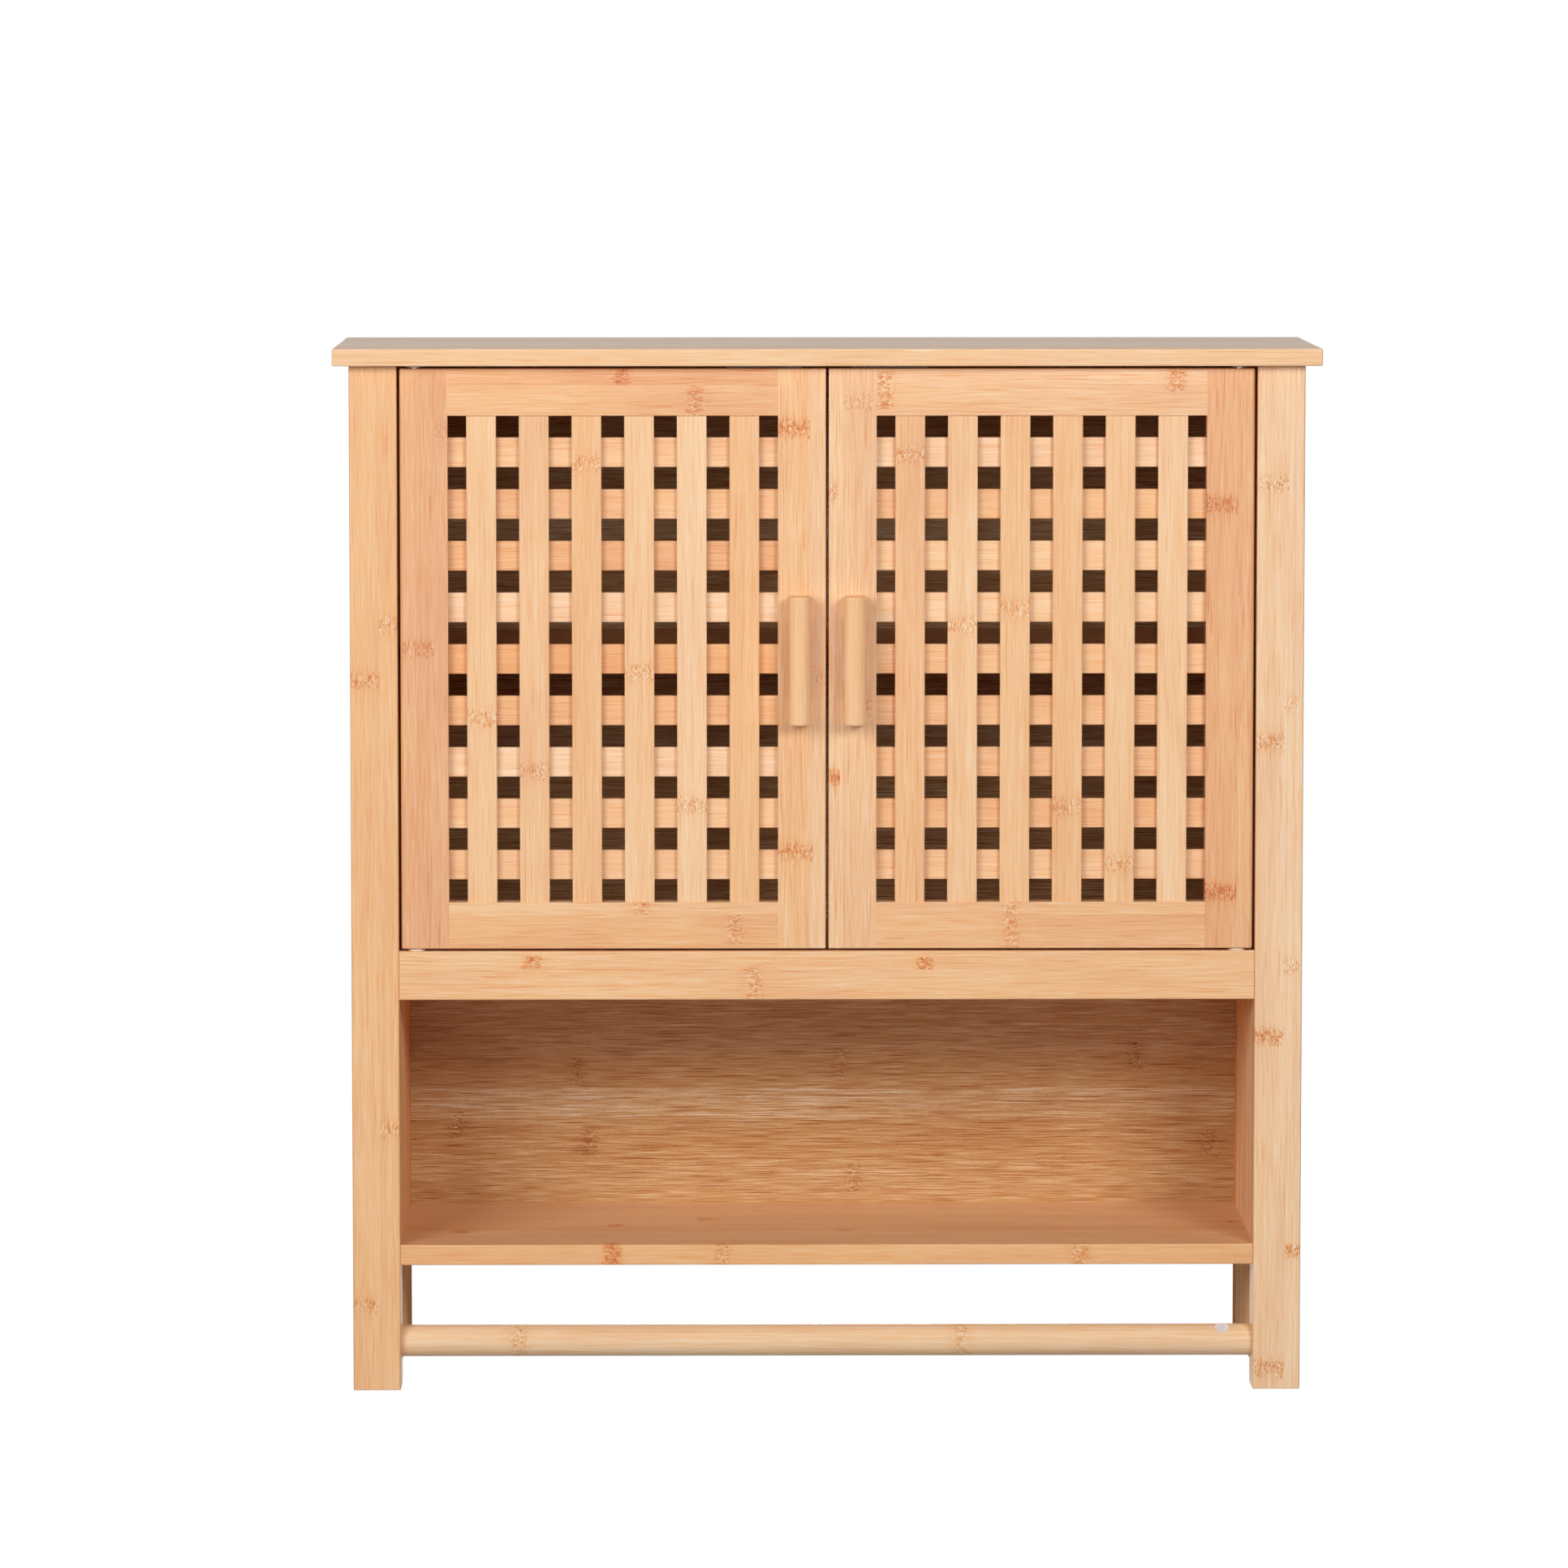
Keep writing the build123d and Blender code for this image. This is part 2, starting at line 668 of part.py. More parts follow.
def upright_row(side, play=0.0, mode=Mode.ADD):
    """Add or cut the room that the upright slats take."""
    with BuildSketch(lattice_plane(side, upright_rear_y + play)) as row:
        with GridLocations(upright_pitch, 0, upright_slats, 1):
            Rectangle(slat_width + 2 * play, opening_height + 2 * (slat_housing + play))
    extrude(row.sketch, amount=slat_thickness + 2 * play, mode=mode)


def level_column(side, play=0.0, mode=Mode.ADD):
    """Add or cut the room that the level slats take."""
    with BuildSketch(lattice_plane(side, upright_rear_y + slat_thickness + play)) as column:
        with GridLocations(0, level_pitch, 1, level_slats):
            Rectangle(opening_width + 2 * (slat_housing + play), slat_width + 2 * play)
    extrude(column.sketch, amount=slat_thickness + 2 * play, mode=mode)


def round_frame_ends(stile, outward):
    """Round a stile's end edges, apart from those at its joint with the rails."""
    for end in (0, -1):
        rim = stile.faces().sort_by(Axis.Z)[end].edges()
        fillet(rim.sort_by(Axis.X)[::outward][1:], frame_round)


def make_stiles(name, side):
    """The hinge stile and the meeting stile of a door."""
    door_y = (front_y, door_rear_y)
    rail_spans = ((door_low_z, opening_low_z), (opening_high_z, door_high_z))
    with BuildPart() as hinge_stile:
        block((side * opening_hinge_x, side * door_hinge_x), door_y, (door_low_z, door_high_z))
        hinge_face = hinge_stile.faces().sort_by(Axis.X)[-1 if side > 0 else 0]
        fillet(hinge_face.edges().filter_by(Axis.Z), hinge_edge_round)
        round_frame_ends(hinge_stile, side)
        for z in rail_spans:
            tenon(z, play=glue_play, mode=Mode.SUBTRACT, side=side)
        level_column(side, play=glue_play, mode=Mode.SUBTRACT)
        for z, into in ((door_low_z, 1), (door_high_z, -1)):
            hole((side * pivot_x, pivot_y, z), (0, 0, into), pin_radius, pin_in_door)
    save(hinge_stile, f"{name}_door_hinge_stile")
    with BuildPart() as meeting_stile:
        block((side * door_free_x, side * opening_free_x), door_y, (door_low_z, door_high_z))
        free_face = meeting_stile.faces().sort_by(Axis.X)[0 if side > 0 else -1]
        fillet(free_face.edges().filter_by(Axis.Z), frame_round)
        round_frame_ends(meeting_stile, -side)
        for z in rail_spans:
            tenon(z, play=glue_play, mode=Mode.SUBTRACT, side=side)
        level_column(side, play=glue_play, mode=Mode.SUBTRACT)
        for point in handle_screw_points(side):
            screw_hole(point, (0, -1, 0), handle_screw_length)
    save(meeting_stile, f"{name}_door_meeting_stile")


def strike_screw_point(side):
    """Where a strike plate's screw starts, at the back of the plate."""
    return (side * catch_offset, strike_rear_y, magnet_z)


def make_rails(name, side):
    """The top and bottom rails of a door, with seats for the upright slats."""
    rail_spans = {"bottom": (door_low_z, opening_low_z), "top": (opening_high_z, door_high_z)}
    for place, rail_z in rail_spans.items():
        with BuildPart() as rail:
            block((side * opening_free_x, side * opening_hinge_x), (front_y, door_rear_y), rail_z)
            outer_face = rail.faces().sort_by(Axis.Z)[-1 if place == "top" else 0]
            fillet(outer_face.edges().filter_by(Axis.X), frame_round)
            tenon(rail_z, side=side)
            upright_row(side, play=glue_play, mode=Mode.SUBTRACT)
            if place == "top":
                screw_hole(strike_screw_point(side), (0, -1, 0), strike_screw_length)
        save(rail, f"{name}_door_{place}_rail")


def make_slats(name, side):
    """The upright slats, one piece each, and the level slats behind them."""
    with BuildPart() as upright:
        upright_row(side)
        fillet(upright.edges().filter_by(Axis.Z), slat_round)
    ordered = upright.solids().sort_by(Axis.X)[::side]
    for number, solid in enumerate(ordered, start=1):
        with BuildPart() as slat:
            add(solid)
        save(slat, f"{name}_door_upright_slat_{number}")
    with BuildPart() as level:
        level_column(side)
        fillet(level.edges().filter_by(Axis.X), slat_round)
    save(level, f"{name}_door_level_slats")


def handle_screw_points(side):
    """Where the handle's screws start, on the back of the meeting stile."""
    return [(side * handle_x, door_rear_y, z) for z in span(door_mid_z, handle_screw_spacing)]


def make_handle(name, side):
    """A crowned wooden bar on two feet, with a finger gap behind it."""
    low_x, high_x = span(side * handle_x, handle_width)
    crest_y = front_y - handle_proud
    crown_y = crest_y + handle_crown
    with BuildPart() as handle:
        with BuildSketch(Plane.XY.offset(door_mid_z - handle_length / 2)):
            with BuildLine():
                Polyline((low_x, crown_y), (low_x, front_y), (high_x, front_y), (high_x, crown_y))
                ThreePointArc((high_x, crown_y), (side * handle_x, crest_y), (low_x, crown_y))
            make_face()
        extrude(amount=handle_length)
        fillet(handle.edges().filter_by(Axis.Z).group_by(Axis.Y)[0], handle_round)
        for end in (0, -1):
            rim = handle.faces().sort_by(Axis.Z)[end].edges()
            fillet(rim.sort_by(Axis.Y)[:-1], handle_round)
        with BuildSketch(Plane.YZ.offset(low_x)) as gap:
            with Locations((front_y - finger_gap_depth / 2, door_mid_z)):
                Rectangle(finger_gap_depth, finger_gap_length)
            fillet(gap.vertices().group_by(Axis.X)[0], finger_gap_round)
        extrude(amount=handle_width, mode=Mode.SUBTRACT)
        for point in handle_screw_points(side):
            screw_hole(point, (0, -1, 0), handle_screw_length)
    save(handle, f"{name}_door_handle")
    with BuildPart() as screws:
        for point in handle_screw_points(side):
            screw(point, (0, -1, 0), handle_screw_length)
    save(screws, f"{name}_door_handle_screws")


def make_door_hardware(name, side):
    """The pivot pins, the strike plate and its screw."""
    with BuildPart() as pins:
        for z, into, gap in ((door_low_z, 1, door_gap_bottom), (door_high_z, -1, door_gap_top)):
            start = (side * pivot_x, pivot_y, z + into * pin_in_door)
            rod(start, (0, 0, -into), pin_radius, pin_in_door + gap + pin_in_bush)
    save(pins, f"{name}_door_pivot_pins")
    with BuildPart() as plate:
        plate_y = (door_rear_y, strike_rear_y)
        block(span(side * catch_offset, strike_width), plate_y, span(magnet_z, strike_height))
        screw_hole(strike_screw_point(side), (0, -1, 0), strike_screw_length)
    save(plate, f"{name}_door_strike_plate")
    with BuildPart() as fixing:
        screw(strike_screw_point(side), (0, -1, 0), strike_screw_length)
    save(fixing, f"{name}_door_strike_screw")


make_top_board()
make_back_panel()
make_apron()
make_floor_board()
make_inner_shelf()
make_lower_shelf()
make_towel_bar()
make_cams_and_bolts()
make_dowels()
make_shelf_pins()
make_pivot_bushes()
make_catches()
make_hangers()
for side_name, side_sign in sides.items():
    make_front_post(side_name, side_sign)
    make_rear_post(side_name, side_sign)
    make_side_panel(side_name, side_sign)
    make_stiles(side_name, side_sign)
    make_rails(side_name, side_sign)
    make_slats(side_name, side_sign)
    make_handle(side_name, side_sign)
    make_door_hardware(side_name, side_sign)
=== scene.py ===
"""Dresses the bamboo wall cabinet: its bamboo, its metal and plastic fittings, and a plain white studio."""
import json
import math

import bpy
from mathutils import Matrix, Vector


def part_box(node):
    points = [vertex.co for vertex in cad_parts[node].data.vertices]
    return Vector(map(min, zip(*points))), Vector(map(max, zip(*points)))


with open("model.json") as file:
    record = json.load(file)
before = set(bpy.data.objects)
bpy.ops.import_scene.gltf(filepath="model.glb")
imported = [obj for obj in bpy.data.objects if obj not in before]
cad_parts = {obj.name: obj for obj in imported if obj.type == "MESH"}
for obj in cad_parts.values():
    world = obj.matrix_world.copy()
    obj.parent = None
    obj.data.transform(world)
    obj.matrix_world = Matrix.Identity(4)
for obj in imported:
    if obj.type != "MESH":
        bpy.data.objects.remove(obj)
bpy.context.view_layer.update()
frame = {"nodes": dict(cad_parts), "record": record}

MM_PER_M = 1000

# Shader nodes


class ShaderTree:
    """Adds nodes to one node tree. Values may be numbers, vectors or the outputs of other nodes."""

    def __init__(self, tree):
        self.tree = tree

    def feed(self, socket, value):
        """Links an output to a socket, or sets the socket's own value."""
        if isinstance(value, bpy.types.NodeSocket):
            self.tree.links.new(value, socket)
        else:
            socket.default_value = value

    def node(self, kind, inputs=None, **settings):
        made = self.tree.nodes.new(kind)
        for name, value in settings.items():
            setattr(made, name, value)
        for name, value in (inputs or {}).items():
            self.feed(made.inputs[name], value)
        return made

    def math(self, operation, *values, clamp=False):
        made = self.node("ShaderNodeMath", operation=operation, use_clamp=clamp)
        for socket, value in zip(made.inputs, values):
            self.feed(socket, value)
        return made.outputs[0]

    def total(self, *values):
        result = values[0]
        for value in values[1:]:
            result = self.math("ADD", result, value)
        return result

    def times(self, a, b):
        return self.math("MULTIPLY", a, b)

    def size(self, value):
        """The value without its sign."""
        return self.math("ABSOLUTE", value)

    def centred(self, value):
        """A value from 0 to 1 as one from -0.5 to 0.5."""
        return self.math("SUBTRACT", value, 0.5)

    def vector_math(self, operation, *values):
        made = self.node("ShaderNodeVectorMath", operation=operation)
        for socket, value in zip(made.inputs, values):
            self.feed(socket, value)
        return made.outputs[0]

    def parts(self, vector):
        return self.node("ShaderNodeSeparateXYZ", {"Vector": vector}).outputs

    def vector(self, x, y, z):
        return self.node("ShaderNodeCombineXYZ", {"X": x, "Y": y, "Z": z}).outputs[0]

    def step(self, value, low, high):
        """Rises smoothly from 0 at low to 1 at high, or falls where low is the larger."""
        inputs = {"Value": value, "From Min": low, "From Max": high}
        return self.node("ShaderNodeMapRange", inputs, interpolation_type="SMOOTHSTEP").outputs[0]

    def noise(self, place, size, detail=1.0, warp=0.0):
        """Noise about 0, from about -0.5 to 0.5, with features of the given size along each axis."""
        scaled = self.vector_math("DIVIDE", place, size)
        inputs = {"Vector": scaled, "Scale": 1.0, "Detail": detail, "Distortion": warp}
        return self.centred(self.node("ShaderNodeTexNoise", inputs).outputs[0])

    def chance(self, place):
        """Three random numbers from 0 to 1, the same for the same place."""
        return self.parts(self.node("ShaderNodeTexWhiteNoise", {"Vector": place}).outputs["Color"])

    def mix(self, share, first, second):
        made = self.tree.nodes.new("ShaderNodeMix")
        made.data_type = "RGBA"
        colours = [socket for socket in made.inputs if socket.type == "RGBA"]
        self.feed(made.inputs["Factor"], share)
        self.feed(colours[0], first)
        self.feed(colours[1], second)
        return [socket for socket in made.outputs if socket.type == "RGBA"][0]

    def deepen(self, colour, density):
        """The colour as it is at a density of 1, and darker and richer where it is denser."""
        return self.node("ShaderNodeGamma", {"Color": colour, "Gamma": density}).outputs[0]

    def bump(self, height, relief):
        """A normal that shows heights of 0 to 1 with a relief in metres."""
        return self.node("ShaderNodeBump", {"Height": height, "Distance": relief}).outputs[0]


def shader_group(name, inputs, outputs):
    """Makes an empty node group. Returns its tree, and its inputs and its outputs by name."""
    group = bpy.data.node_groups.new(name, "ShaderNodeTree")
    for direction, sockets in (("INPUT", inputs), ("OUTPUT", outputs)):
        for socket_name, kind in sockets.items():
            group.interface.new_socket(socket_name, in_out=direction, socket_type="NodeSocket" + kind)
    tree = ShaderTree(group)
    entry = tree.node("NodeGroupInput").outputs
    leave = tree.node("NodeGroupOutput").inputs
    return tree, entry, leave


def use_group(tree, group, inputs):
    """Adds a group whose inputs are given by name, in lower case with underscores."""
    made = tree.node("ShaderNodeGroup", node_tree=group)
    for name, value in inputs.items():
        tree.feed(made.inputs[name.replace("_", " ").capitalize()], value)
    return list(made.outputs)


def material_tree(name):
    """Makes a material. Returns it, its tree, and its Principled shader."""
    material = bpy.data.materials.new(name)
    material.use_nodes = True
    tree = ShaderTree(material.node_tree)
    return material, tree, material.node_tree.nodes["Principled BSDF"]


def set_shader(shader, **values):
    """Sets or links the shader's sockets, named in lower case with underscores."""
    tree = ShaderTree(shader.id_data)
    for name, value in values.items():
        tree.feed(shader.inputs[name.replace("_", " ").title().replace("Ior", "IOR")], value)


def srgb(red, green, blue):
    """A colour of 0 to 255 as the linear colour that a shader takes."""
    linear = []
    for value in (red, green, blue):
        share = value / 255
        linear.append(share / 12.92 if share <= 0.04045 else ((share + 0.055) / 1.055) ** 2.4)
    return (*linear, 1.0)


def object_place(tree):
    """The place on the piece in the cabinet's own frame, in millimetres."""
    place = tree.node("ShaderNodeTexCoord").outputs["Object"]
    return tree.vector_math("MULTIPLY", place, (MM_PER_M, MM_PER_M, MM_PER_M))


# Bamboo. A place in it is (across the strips, through them, along the grain), in millimetres

WHITE = (1, 1, 1, 1)
PALE_PIGMENT = srgb(236, 186, 136)
# A darker brown, used only for the back panel: painted shade of the recess the panel lies in, behind the
# apron
SHADED_BROWN_PIGMENT = srgb(204, 160, 110)
ROSE_TINT = (0.87, 0.80, 1.0, 1.0)

KNUCKLE_LENGTH = 4.5
HALO_LENGTH = 10.0
CANE_LENGTH = 260.0
CANE_SEED_STEP = 7.31
GLUE_WIDTH = 0.22
RELIEF = 0.0001

# The size of each kind of mark, also across, through and along
FIBRE_SIZE = (0.4, 0.4, 24.0)
LINE_SIZE = (0.6, 0.6, 38.0)
SPECK_SIZE = (0.4, 0.4, 2.6)
BAND_SIZE = (2.4, 2.4, 170.0)
CLOUD_SIZE = (26.0, 26.0, 120.0)
TOOTH_SIZE = (0.9, 0.9, 5.0)
SWAY_SIZE = (5.0, 5.0, 40.0)
SWIRL_SIZE = (2.2, 2.2, 3.0)
SQUIGGLE_SIZE = (0.8, 0.8, 3.0)


def ragged(tree, place, along):
    """The place along the grain, shifted to and fro so that an end across the grain is ragged."""
    return tree.total(along, tree.times(tree.noise(place, TOOTH_SIZE), 12.0))


def knuckle_core(tree, distance):
    """1 in the middle of a knuckle and 0 beyond its ends."""
    return tree.step(tree.size(distance), KNUCKLE_LENGTH * 1.5, KNUCKLE_LENGTH * 0.5)


def knuckle_halo(tree, distance):
    """1 in the middle of a knuckle, falling slowly to 0 on each side of it."""
    return tree.step(tree.size(distance), HALO_LENGTH * 1.4, 0.0)


def knuckle_group():
    """One knuckle of a bamboo cane, added to those that came before it."""
    tree, entry, leave = shader_group(
        "bamboo_knuckle",
        {
            "Place": "Vector",
            "Centre": "Vector",
            "Half width": "Float",
            "Strength": "Float",
            "Darkness": "Float",
            "Core": "Float",
            "Halo": "Float",
            "Dark": "Float",
        },
        {"Core": "Float", "Halo": "Float", "Dark": "Float"},
    )
    across, _, along = tree.parts(tree.vector_math("SUBTRACT", entry["Place"], entry["Centre"]))
    sway = tree.times(tree.noise(entry["Place"], SWAY_SIZE), 4.0)
    distance = tree.total(ragged(tree, entry["Place"], along), sway)
    edge = tree.math("SUBTRACT", tree.size(across), entry["Half width"])
    within = tree.times(tree.step(edge, 0.3, -0.3), entry["Strength"])
    core = tree.times(knuckle_core(tree, distance), within)
    halo = tree.times(knuckle_halo(tree, along), within)
    dark = tree.times(core, entry["Darkness"])
    for name, value in {"Core": core, "Halo": halo, "Dark": dark}.items():
        tree.feed(leave[name], tree.math("MAXIMUM", value, entry[name]))
    return tree.tree


def scattered_knuckles(tree, entry, along, strip, layer, shift):
    """Knuckles that fall at random, at most one in each length of cane. Returns their core and their halo."""
    cane_place = tree.total(tree.math("DIVIDE", along, CANE_LENGTH), shift)
    cane = tree.math("FLOOR", cane_place)
    seed = tree.total(tree.times(cane, CANE_SEED_STEP), entry["Seed"])
    chance = tree.chance(tree.vector(strip, layer, seed))
    middle = tree.total(tree.times(chance[0], 0.8), 0.1)
    distance = tree.times(tree.math("SUBTRACT", tree.math("FRACT", cane_place), middle), CANE_LENGTH)
    present = tree.math("LESS_THAN", chance[1], entry["Knuckle share"])
    core = tree.times(knuckle_core(tree, ragged(tree, entry["Place"], distance)), present)
    halo = tree.times(knuckle_halo(tree, distance), present)
    return core, halo


def bamboo_group():
    """Laminated bamboo: strips glued side by side, each with its own tone and its own run of fibres."""
    tree, entry, leave = shader_group(
        "bamboo",
        {
            "Place": "Vector",
            "Strip width": "Float",
            "Strip depth": "Float",
            "Shift": "Float",
            "Seed": "Float",
            "Pigment": "Color",
            "Density": "Float",
            "Rosy": "Float",
            "Strip contrast": "Float",
            "Fibre contrast": "Float",
            "Knuckle share": "Float",
            "Core": "Float",
            "Halo": "Float",
            "Dark": "Float",
        },
        {"Colour": "Color", "Roughness": "Float", "Height": "Float"},
    )
    across, depth, along = tree.parts(entry["Place"])
    strip_place = tree.math("DIVIDE", tree.math("SUBTRACT", across, entry["Shift"]), entry["Strip width"])
    strip = tree.math("FLOOR", strip_place)
    strip_fraction = tree.math("FRACT", strip_place)
    layer = tree.math("FLOOR", tree.math("DIVIDE", depth, entry["Strip depth"]))
    chance = tree.chance(tree.vector(strip, layer, entry["Seed"]))

    scattered_core, scattered_halo = scattered_knuckles(tree, entry, along, strip, layer, chance[0])
    core = tree.math("MAXIMUM", entry["Core"], scattered_core)
    halo = tree.math("MAXIMUM", entry["Halo"], scattered_halo)

    # No fibre runs on from one strip into the next, and fibres bend round a knuckle
    swirl = tree.times(tree.noise(entry["Place"], SWIRL_SIZE), tree.times(halo, 3.0))
    offset = tree.vector(
        tree.total(tree.times(chance[0], 90.0), swirl),
        tree.times(chance[1], 90.0),
        tree.times(tree.total(chance[2], entry["Seed"]), 900.0),
    )
    place = tree.vector_math("ADD", entry["Place"], offset)
    fine = tree.noise(place, FIBRE_SIZE, 2.0)
    bands = tree.noise(place, BAND_SIZE)
    clouds = tree.noise(place, CLOUD_SIZE)
    lines = tree.step(tree.noise(place, LINE_SIZE), 0.1, 0.22)
    specks = tree.step(tree.noise(place, SPECK_SIZE, 0.0), 0.17, 0.3)
    fibres = tree.total(
        tree.times(fine, 0.95),
        tree.times(lines, 0.34),
        tree.times(specks, 0.12),
    )

    # Cane is denser towards its skin, so a strip is darker along one side
    skin_side = tree.math("GREATER_THAN", chance[2], 0.5)
    skin = tree.size(tree.math("SUBTRACT", skin_side, strip_fraction))
    to_joint = tree.math("SUBTRACT", 0.5, tree.size(tree.centred(strip_fraction)))
    glue = tree.step(tree.times(to_joint, entry["Strip width"]), GLUE_WIDTH, 0.02)
    strips = tree.total(
        tree.times(tree.centred(chance[1]), 1.6),
        tree.times(tree.centred(skin), 0.5),
        tree.times(glue, 0.7),
    )

    # Short pale and dark squiggles fill a knuckle
    squiggle = tree.noise(place, SQUIGGLE_SIZE, 1.0, 1.2)
    marks = tree.math("MINIMUM", tree.math("MAXIMUM", tree.times(squiggle, 5.5), -0.4), 0.85)
    density = tree.total(
        entry["Density"],
        tree.times(strips, entry["Strip contrast"]),
        tree.times(fibres, entry["Fibre contrast"]),
        tree.times(bands, 0.4),
        tree.times(clouds, 0.3),
        tree.times(tree.total(marks, 0.06), core),
        tree.times(halo, 0.1),
        tree.times(entry["Dark"], tree.total(0.8, tree.times(squiggle, 3.0))),
    )
    rosy = tree.total(
        entry["Rosy"],
        tree.times(halo, 0.05),
        tree.times(lines, tree.times(entry["Fibre contrast"], 0.15)),
        tree.times(tree.centred(chance[0]), tree.times(entry["Strip contrast"], 1.5)),
        tree.times(clouds, 0.8),
    )
    tint = tree.mix(tree.math("MAXIMUM", rosy, 0.0, clamp=True), WHITE, ROSE_TINT)
    pigment = tree.vector_math("MULTIPLY", entry["Pigment"], tint)
    tree.feed(leave["Colour"], tree.deepen(pigment, density))
    tree.feed(leave["Roughness"], tree.total(0.42, tree.times(fine, 0.18), tree.times(core, 0.08)))
    height = tree.total(
        tree.times(fibres, -0.5),
        tree.times(marks, tree.times(core, -0.7)),
        tree.times(glue, -0.5),
    )
    tree.feed(leave["Height"], height)
    return tree.tree


KNUCKLE = knuckle_group()
BAMBOO = bamboo_group()

# How a piece's grain lies: which axes run across the strips, through them and along the grain
UPRIGHT = ("X", "Y", "Z")
LEVEL = ("Z", "Y", "X")
SIDEWAYS = ("Y", "X", "Z")
FLAT = ("Y", "Z", "X")

PLAIN_LOOK = {
    "strip_depth": 20.0,
    "shift": 0.0,
    "pigment": PALE_PIGMENT,
    "density": 1.0,
    "rosy": 0.0,
    "strip_contrast": 0.15,
    "fibre_contrast": 1.0,
    "knuckle_share": 0.0,
}


def stepped(tree, value, low, high, levels):
    """A value that changes in equal steps from low to high. A ramp holds 0 to 1, and levels go up to 2."""
    share = tree.node("ShaderNodeMapRange", {"Value": value, "From Min": low, "From Max": high}).outputs[0]
    ramp = tree.node("ShaderNodeValToRGB", {"Fac": share})
    ramp.color_ramp.interpolation = "CONSTANT"
    stops = ramp.color_ramp.elements
    while len(stops) < len(levels):
        stops.new(1.0)
    for number, level in enumerate(levels):
        stops[number].position = number / len(levels)
        stops[number].color = (level / 2, level / 2, level / 2, 1)
    return tree.times(ramp.outputs["Color"], 2.0)


def bamboo(name, grain, strip_width, knuckles=(), gloss=1.0, seed=0.0, steps=None, **look):
    """Makes one piece's bamboo. A knuckle is (across, along, half width, strength, darkness)."""
    material, tree, shader = material_tree(name)
    axes = dict(zip("XYZ", tree.parts(object_place(tree))))
    across, through, along = (axes[letter] for letter in grain)
    place = tree.vector(across, through, along)
    look = PLAIN_LOOK | look
    if steps:
        look["density"] = stepped(tree, across, *steps)
    marks = {"core": 0.0, "halo": 0.0, "dark": 0.0}
    for centre_across, centre_along, half_width, strength, darkness in knuckles:
        settings = {
            "place": place,
            "centre": (centre_across, 0, centre_along),
            "half_width": half_width,
            "strength": strength,
            "darkness": darkness,
        }
        marks = dict(zip(marks, use_group(tree, KNUCKLE, settings | marks)))
    settings = {"place": place, "strip_width": strip_width, "seed": seed}
    colour, roughness, height = use_group(tree, BAMBOO, settings | marks | look)
    set_shader(
        shader,
        base_color=colour,
        roughness=roughness,
        normal=tree.bump(height, RELIEF),
        specular_ior_level=0.5 * gloss,
        coat_weight=0.2 * gloss,
        coat_roughness=0.28,
    )
    return material


def dress(node, material):
    for slot in frame["nodes"][node].material_slots:
        slot.material = material


def dress_bamboo(node, grain, strip_width, **settings):
    seed = sorted(frame["nodes"]).index(node)
    dress(node, bamboo(node, grain, strip_width, seed=seed, **settings))


# Cabinet. Surfaces that the photograph shows edge-on have no gloss, which would hide their colour there

dress_bamboo(
    "top_board", FLAT, 20, shift=-200, density=0.76, rosy=0.05, gloss=0.6,
    knuckles=[(-192, -145, 6, 0.5, 0), (-192, 170, 6, 0.9, 0)],
)
dress_bamboo(
    "left_front_post", UPRIGHT, 18, shift=-300, density=1.08, gloss=0.6,
    knuckles=[(-291, -149, 9, 1, 0.1), (-276, -114, 6, 1, 0), (-276, -433, 6, 1, 0), (-292, -546, 8, 1, 0)],
)
dress_bamboo(
    "right_front_post", UPRIGHT, 20, shift=270, density=0.8, rosy=0.05, gloss=0.6,
    knuckles=[
        (280, -25, 10, 1, 0),
        (293, -163, 5, 0.7, 0),
        (278, -188, 10, 1, 0.1),
        (293, -330, 5, 0.8, 0),
        (279, -375, 9, 1, 0.5),
        (295, -511, 5, 1, 0.3),
        (280, -586, 10, 1, 0.2),
    ],
)
# The rear posts are darker than the front posts, the right one more: painted shade of their faces that show
# below the shelf
for side, shaded_post_density, panel_density in (("left", 1.2, 0.95), ("right", 1.3, 0.9)):
    dress_bamboo(
        f"{side}_rear_post", UPRIGHT, 15,
        density=shaded_post_density, rosy=0.05, knuckle_share=0.5, gloss=0,
    )
    dress_bamboo(
        f"{side}_side_panel", SIDEWAYS, 7,
        density=panel_density, rosy=0.05, strip_contrast=0.25, knuckle_share=0.5, gloss=0,
    )
# The back panel's darker brown pigment is painted shade of the open bay's recess
dress_bamboo(
    "back_panel", LEVEL, 20,
    shift=9, pigment=SHADED_BROWN_PIGMENT, strip_contrast=0.2, fibre_contrast=2.8, gloss=0.6,
    knuckles=[
        (-420, -161, 9, 0.8, 0),
        (-455, -239, 9, 0.8, 0),
        (-468, -153, 9, 0.8, 0.1),
        (-415, 11, 10, 0.7, 0),
        (-490, 19, 9, 0.7, 0),
        (-410, 205, 10, 0.8, 0.1),
        (-469, 254, 9, 0.7, 0),
    ],
)
